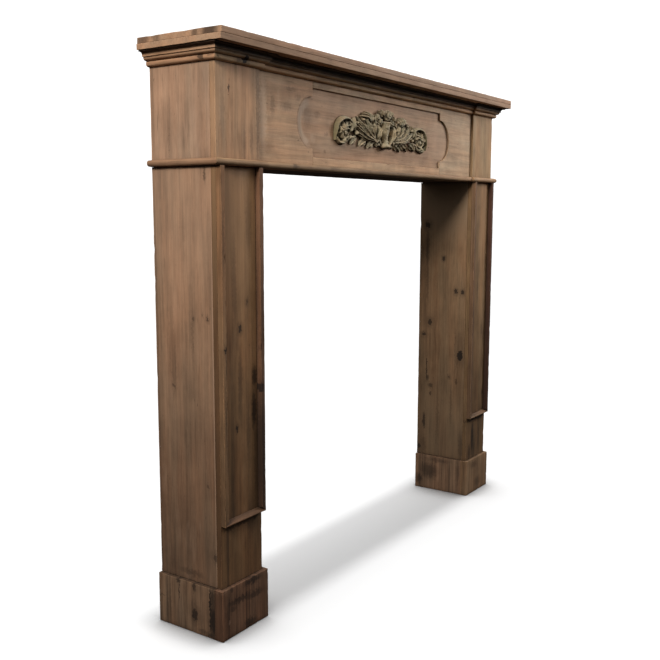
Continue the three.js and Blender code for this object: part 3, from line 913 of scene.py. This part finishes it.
def vase(shape):
    """The vase, turned about an upright axis that stands a little proud of the panel."""
    foot = [(0.5, -43), (9, -42.5), (14.5, -40.5), (18, -37), (18, -35), (15.5, -32), (12, -29)]
    neck = [(11.5, -26.5), (12.5, -25), (11.5, -23), (9.5, -20), (10, -12)]
    cup = [(12, -2), (14, 7), (16.5, 16), (18.5, 22), (19.5, 23.5), (19.5, 25), (17.5, 26), (0.5, 25)]
    turns = [2 * math.pi * k / VASE_SIDES for k in range(VASE_SIDES)]
    loft(shape, [[Vector((r * math.cos(a), v, VASE_RISE + VASE_FLATNESS * r * math.sin(a))) for a in turns]
                 for r, v in foot + neck + cup])


def plume():
    """Ribs that sweep from the vase's foot up to a row of leaf tips."""
    tips = [(164, 5), (158, 17), (147, 25), (133, 31), (117, 35), (100, 37), (83, 36), (66, 30)]
    for i, (u, v) in enumerate(tips):
        root_u, root_v = 42 + i * 1.4, -27 + i * 2.3
        low = (root_u + (u - root_u) * 0.45, root_v + (v - root_v) * 0.2 - 1 + i * 0.6)
        high = (root_u + (u - root_u) * 0.82, root_v + (v - root_v) * 0.66)
        yield [(root_u, root_v), low, high, (u, v)], (4, 5.5, 1.5), (9, 14 + (i % 2) * 5, 6), 30, 2


def fan():
    """Short leaves that curl up above the plume."""
    root_u, root_v = 80, 20
    for u, v in ((119, 33), (109, 41), (96, 45.5), (82, 45), (69, 40)):
        middle = ((u + root_u) / 2 - 4, (v + root_v) / 2 + 4)
        yield [(root_u, root_v), middle, (u, v)], (3, 5, 2), (12, 18, 9), 16, 1


def drops():
    """Cupped leaves that hang slanting along the foot, each with a smaller one behind it."""
    for u, v, length in ((52, -26, 34), (88, -23, 36), (137, -21, 28)):
        leaf = [(u, v), (u + 0.35 * length, v - 3), (u + 0.72 * length, v - 9), (u + length, v - 18)]
        small = [(u + 2, v - 8), (u + 0.25 * length, v - 12), (u + 0.45 * length, v - 16)]
        yield leaf, (3.5, 7.5, 3), (8, 12, 8), 18, CUPPED
        yield small, (2, 4, 2), (5, 8, 5), 12, CUPPED


def scroll():
    """The crescent at the end, with a second curl inside it, a third below and leaves between."""
    crescent = [(231, -34), (230, -14), (225, 3), (213, 15), (197, 20.5), (179, 21), (160, 14)]
    curl = [(158, 8), (173, 5), (190, 3), (203, -4), (208, -15), (201, -25), (188, -27), (179, -20),
            (184, -11)]
    lowest = [(227, -24), (216, -36), (200, -38), (184, -33)]
    yield crescent, (2.5, 6.5, 4), (7, 14, 11), 50, 1
    yield curl, (3.5, 5, 3.5), (9, 12, 8), 50, 1
    yield lowest, (3, 5.5, 3), (6, 10, 7), 20, 1
    for end in ((180, 14), (203, 13), (217, -1), (222, -18), (172, -3)):
        middle = (0.5 * (196 + end[0]) + 2, 0.5 * (end[1] - 8) + 2)
        yield [(196, -8), middle, end], (3, 4.5, 2.5), (11, 14, 9), 14, 2


def sprays():
    """Every strand of the right half: line, half widths, heights, steps and grooves."""
    yield from plume()
    yield from fan()
    yield from drops()
    yield from scroll()
    yield [(30, -22), (39, -10), (37, 4), (44, 17)], (4, 7, 3), (12, 22, 13), 24, 3
    yield [(13, -38), (23, -29), (33, -22), (42, -27), (45, -37)], (3, 6, 3), (8, 13, 7), 24, 1
    yield [(22, -35), (32, -33), (42, -39)], (3, 5.5, 2), (6, 9, 5), 12, 1
    yield [(146, -6), (153, 4), (154, 16), (146, 27)], (3, 6, 2), (9, 16, 9), 20, 2
    yield [(172, -14), (163, -4), (164, 6), (173, 14)], (3, 5, 2), (8, 13, 8), 18, 1
    yield [(150, -22), (162, -21), (174, -27), (182, -35)], (3, 5, 3), (6, 9, 6), 16, 1


def ornament_shape():
    shape = bmesh.new()
    vase(shape)
    for points, half_widths, heights, steps, grooves in sprays():
        for side in (-1, 1):
            strand(shape, points, half_widths, heights, steps, grooves, side)
    rose(shape, u=0, v=43, radius=17, height=25, petals=6, spin=0.2)
    for side in (-1, 1):
        for u, v, radius, height in ROSES:
            rose(shape, side * u, v, radius, height, petals=5, spin=u * side)
        rose(shape, side * 193, v=-14, radius=9, height=12, petals=5, spin=side)
        ball(shape, (side * 196, -8, 0), (25, 22, 6))
        for u, v, radius in BUDS:
            ball(shape, (side * u, v, 9), (radius, radius, radius + 2))
    return shape


def carve(mesh):
    """Turns the drawing into the panel's frame, fits it to the CAD node's box and roughens it."""
    low, high = boxes["carved_ornament"]
    points = [v.co.copy() for v in mesh.vertices]
    least = Vector([min(p[i] for p in points) for i in range(3)])
    most = Vector([max(p[i] for p in points) for i in range(3)])
    for vertex, p in zip(mesh.vertices, points):
        tool = sum(noise.noise(p / size) * deep for size, deep in TOOL_MARKS)
        rise = (p.z - least.z) / (most.z - least.z)
        wander = (noise.noise(p / WANDER_SIZE), noise.noise(p / WANDER_SIZE + Vector((9, 0, 0))), 0)
        p = p + Vector(wander) * WANDER_REACH * rise
        share = Vector([(p[i] - least[i]) / (most[i] - least[i]) for i in range(3)])
        x = low.x + (high.x - low.x) * min(1.0, max(0.0, share.x))
        z = low.z + (high.z - low.z) * min(1.0, max(0.0, share.y))
        cut = (tool - TOOL_LEVEL) / TOOL_HEIGHT * min(1.0, share.z * 4)
        depth = min(1.0, max(0.0, share.z + cut))
        vertex.co = Vector((x, high.y - (high.y - low.y) * depth, z))


def flatten(mesh):
    """Cuts off what lies behind the panel's face and closes the cut."""
    shape = bmesh.new()
    shape.from_mesh(mesh)
    cut = bmesh.ops.bisect_plane(shape, geom=shape.verts[:] + shape.edges[:] + shape.faces[:],
                                 plane_co=(0, 0, 0), plane_no=(0, 0, 1), clear_inner=True)
    rim = [e for e in cut["geom_cut"] if isinstance(e, bmesh.types.BMEdge)]
    bmesh.ops.holes_fill(shape, edges=rim)
    shape.to_mesh(mesh)
    shape.free()


CARVING_TONE = "#b6a58b"
CARVING_PATCHES = Layer((22, 22, 22), 3, 3.0)
CARVING_GRAIN = Layer((3, 1.6, 1.6), 5, 3.0, 0.6)
CARVING_WARM = (1.08, 1.0, 0.88)
CARVING_COOL = (0.86, 0.95, 0.92)
CARVING_DEEP = (0.35, 0.33, 0.28)
CARVING_HIGHLIGHT = (1.75, 1.7, 1.65)
CARVING_END = (0.42, 0.42, 0.29)
CARVING_SHADE = (0.010, 0.007, 0.004, 1.0)
# How far the painted shade in the recesses reaches, in millimetres.
CARVING_RECESS = 14
CARVING_ROUGHNESS = 0.8
CARVING_SPECULAR = 0.2
CARVING_BUMP = 0.5

# Steps, as for the pine. The ends are so many millimetres from the middle, and a face that looks down
# has an upward share below 0.
GRAIN_STRENGTH = (0.2, 0.8, 0.35, 0.0)
# Painted highlight on the carving's high places and ridge tops.
RIDGE_HIGHLIGHT = (0.51, 0.6, 0.0, 0.65)
END_STRENGTH = (195, 226, 0.0, 0.85)
# Painted shade in the recesses and on faces that look down.
RECESS_SHADE = (0.15, 0.8, 0.92, 0.0)
UNDERSIDE_SHADE = (-0.95, -0.35, 0.93, 0.0)


def carving():
    """Dry grey carved wood with painted shade in its recesses and under its forms, painted highlights on
    its high places, and darker ends.
    """
    material, n = new_material("carving")
    place = n.millimetres()
    grain = n.noise(place, CARVING_GRAIN)
    base = linear(CARVING_TONE)
    patches = n.step(n.noise(place, CARVING_PATCHES), *TINT_CHANGE)
    colour = n.blend(patches, tinted(base, CARVING_WARM), tinted(base, CARVING_COOL))
    colour = n.blend(n.step(grain, *GRAIN_STRENGTH), colour, tinted(base, CARVING_DEEP))
    ridge_highlight = n.step(n.add("NewGeometry", output="Pointiness"), *RIDGE_HIGHLIGHT)
    colour = n.blend(ridge_highlight, colour, tinted(base, CARVING_HIGHLIGHT))
    outward = n.math("ABSOLUTE", n.dot(place, (1, 0, 0)))
    colour = n.blend(n.step(outward, *END_STRENGTH), colour, tinted(base, CARVING_END))
    recesses = n.step(n.open_air(CARVING_RECESS, samples=8), *RECESS_SHADE)
    painted_shade = n.math("MAXIMUM", recesses, n.step(n.facing(UP), *UNDERSIDE_SHADE))
    colour = n.blend(painted_shade, colour, CARVING_SHADE)
    values = {"Base Color": colour, "Roughness": CARVING_ROUGHNESS,
              "Specular IOR Level": CARVING_SPECULAR, "Normal": n.bump(grain, CARVING_BUMP)}
    n.close("OutputMaterial", n.add("BsdfPrincipled", values))
    return material


def add_ornament():
    shape = ornament_shape()
    bmesh.ops.triangulate(shape, faces=shape.faces)
    piece = finished(shape, "ornament_carving")
    remesh = piece.modifiers.new("carving", "REMESH")
    remesh.mode = "VOXEL"
    remesh.voxel_size = VOXEL
    smooth = piece.modifiers.new("softened", "SMOOTH")
    smooth.factor = SMOOTHING
    smooth.iterations = 1
    evaluated = piece.evaluated_get(bpy.context.evaluated_depsgraph_get())
    mesh = bpy.data.meshes.new_from_object(evaluated)
    piece.modifiers.clear()
    piece.data = mesh
    flatten(mesh)
    carve(mesh)
    mesh.shade_smooth()
    mesh.materials.clear()
    mesh.materials.append(carving())
    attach(piece, "root")
    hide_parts("carved_ornament")


# Camera, floor and light

FLOOR_HALF_SIZE = 40
FLOOR_DROP = 0.5
# The floor glows less within this reach of the mantel, in millimetres: a painted contact shadow.
FLOOR_SHADOW_REACH = 110
FLOOR_GLOW_AND_SHADOW = (0.45, 1.0, 0.0, 0.32)

# Light from the world: what the camera sees behind the mantel, and the sky from below up to above.
BACKDROP = 1.2
SKY = (-0.1, 0.5, 0.02, 0.42)


def add_camera():
    yaw, pitch, roll = (math.radians(a) for a in (CAMERA_YAW, CAMERA_PITCH, CAMERA_ROLL))
    forward = Vector((math.cos(pitch) * math.cos(yaw), math.cos(pitch) * math.sin(yaw), -math.sin(pitch)))
    right = Vector((math.sin(yaw), -math.cos(yaw), 0))
    turn = Matrix((right, right.cross(forward), -forward)).transposed() @ Matrix.Rotation(-roll, 3, "Z")
    data = bpy.data.cameras.new("camera")
    data.lens = CAMERA_LENS
    data.sensor_width = CAMERA_SENSOR
    camera = bpy.data.objects.new("camera", data)
    camera.matrix_world = Matrix.Translation(CAMERA_PLACE) @ turn.to_4x4()
    bpy.context.scene.collection.objects.link(camera)
    bpy.context.scene.camera = camera


def add_floor():
    """A white floor that glows, less near the mantel as a painted contact shadow, shows soft shadows and
    throws no light on the mantel.
    """
    shape = bmesh.new()
    bmesh.ops.create_grid(shape, x_segments=1, y_segments=1, size=FLOOR_HALF_SIZE)
    floor = finished(shape, "floor")
    floor.location.z = -FLOOR_DROP * MM
    floor.visible_diffuse = False
    floor.visible_glossy = False
    material, n = new_material("floor")
    glow_and_painted_shadow = n.step(n.open_air(FLOOR_SHADOW_REACH, samples=8), *FLOOR_GLOW_AND_SHADOW)
    values = {"Base Color": (0.8, 0.8, 0.8, 1.0), "Roughness": 1.0, "Specular IOR Level": 0.0,
              "Emission Color": (1.0, 1.0, 1.0, 1.0), "Emission Strength": glow_and_painted_shadow}
    n.close("OutputMaterial", n.add("BsdfPrincipled", values))
    floor.data.materials.append(material)
    floor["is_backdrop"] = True


def add_area(name, place, target, size, power, colour, lit):
    data = bpy.data.lights.new(name, "AREA")
    data.shape = "DISK"
    data.size = size
    data.energy = power
    data.color = colour
    lamp = bpy.data.objects.new(name, data)
    lamp.location = place
    lamp.rotation_mode = "QUATERNION"
    lamp.rotation_quaternion = (Vector(target) - Vector(place)).to_track_quat("-Z", "Y")
    lamp.light_linking.receiver_collection = lit
    bpy.context.scene.collection.objects.link(lamp)


def add_sun(name, energy, angle, lean):
    """A light straight from above that leans towards the front or the back."""
    data = bpy.data.lights.new(name, "SUN")
    data.energy = energy
    data.angle = math.radians(angle)
    lamp = bpy.data.objects.new(name, data)
    lamp.rotation_euler = (math.radians(lean), 0, 0)
    bpy.context.scene.collection.objects.link(lamp)


def add_lights():
    """Two lamps light the mantel alone. Two suns overhead also drop its soft shadow on the floor."""
    lit = bpy.data.collections.new("lit by lamps")
    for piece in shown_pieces():
        lit.objects.link(piece)
    add_area("key", place=(-3.2, -0.75, 2.5), target=(-0.6, 0, 0.9), size=0.9, power=115,
             colour=(1.0, 0.97, 0.93), lit=lit)
    add_area("fill", place=(1.9, -1.35, 1.95), target=(0.4, 0, 0.9), size=1.1, power=44,
             colour=(0.97, 0.98, 1.0), lit=lit)
    add_sun("overhead", energy=1.3, angle=3.5, lean=1.5)
    add_sun("overhead haze", energy=0.6, angle=12, lean=-2.5)


def add_world():
    """White behind the mantel, a soft sky above and little light from below."""
    world = bpy.data.worlds.new("studio")
    bpy.context.scene.world = world
    world.use_nodes = True
    n = Nodes(world.node_tree)
    sky = n.step(n.parts(n.add("TexCoord", output="Generated"))[2], *SKY)
    seen = n.add("LightPath", output="Is Camera Ray")
    unseen = n.math("SUBTRACT", 1.0, seen)
    strength = n.math("ADD", n.math("MULTIPLY", seen, BACKDROP), n.math("MULTIPLY", sky, unseen))
    background = n.add("Background", {"Color": (1.0, 1.0, 1.0, 1.0), "Strength": strength})
    n.close("OutputWorld", background)


add_camera()
add_boards()
add_ornament()
add_floor()
add_world()
add_lights()
bpy.context.scene.view_settings.view_transform = "Standard"
